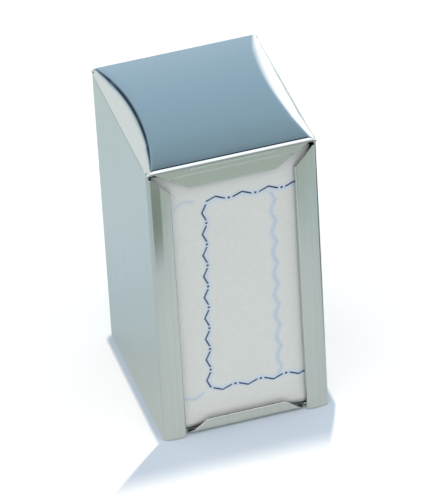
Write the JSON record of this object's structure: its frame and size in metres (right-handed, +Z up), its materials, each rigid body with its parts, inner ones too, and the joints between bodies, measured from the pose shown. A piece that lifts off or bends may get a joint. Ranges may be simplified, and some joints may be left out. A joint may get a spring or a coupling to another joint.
{
  "type": "napkin dispenser",
  "caption": "Upright polished metal napkin dispenser with a domed top, flanged open mouths front and rear, and sprung plates that press tall-folded napkins outward.",
  "frame": {"origin": "centre of the bottom face that rests on the table", "axes": "+X along the width to the right seen from the front, -Y out of the front mouth, +Z up"},
  "size_m": [0.097, 0.11, 0.1905],
  "materials": {
    "chromed_sheet": "polished",
    "plain_steel_sheet": "satin",
    "spring_seat_steel": "satin",
    "spring_wire": "drawn wire",
    "napkin_paper": "matte"
  },
  "bodies": {
    "housing": {"top_cover": "chromed_sheet", "left_side_panel": "chromed_sheet", "right_side_panel": "chromed_sheet", "base_plate": "chromed_sheet", "centre_partition": "plain_steel_sheet", "cup_rivets": "spring_seat_steel", "front_spring_cups": "spring_seat_steel", "rear_spring_cups": "spring_seat_steel", "front_upper_spring": "spring_wire", "front_lower_spring": "spring_wire", "rear_upper_spring": "spring_wire", "rear_lower_spring": "spring_wire"},
    "front_napkin_pack": {"front_follower": "plain_steel_sheet", "front_outer_napkin": "napkin_paper", "front_second_napkin": "napkin_paper", "front_third_napkin": "napkin_paper", "front_napkin_stack": "napkin_paper"},
    "rear_napkin_pack": {"rear_follower": "plain_steel_sheet", "rear_outer_napkin": "napkin_paper", "rear_second_napkin": "napkin_paper", "rear_third_napkin": "napkin_paper", "rear_napkin_stack": "napkin_paper"}
  },
  "joints": [
    {"name": "front_follower_slide", "type": "slide", "parent": "housing", "child": "front_napkin_pack", "axis": [0, 1, 0], "range_m": [0, 0.016], "stiffness_N_per_m": 300, "springref_m": -0.02, "deforming": ["front_upper_spring", "front_lower_spring"]},
    {"name": "rear_follower_slide", "type": "slide", "parent": "housing", "child": "rear_napkin_pack", "axis": [0, -1, 0], "range_m": [0, 0.016], "stiffness_N_per_m": 300, "springref_m": -0.02, "deforming": ["rear_upper_spring", "rear_lower_spring"]}
  ]
}
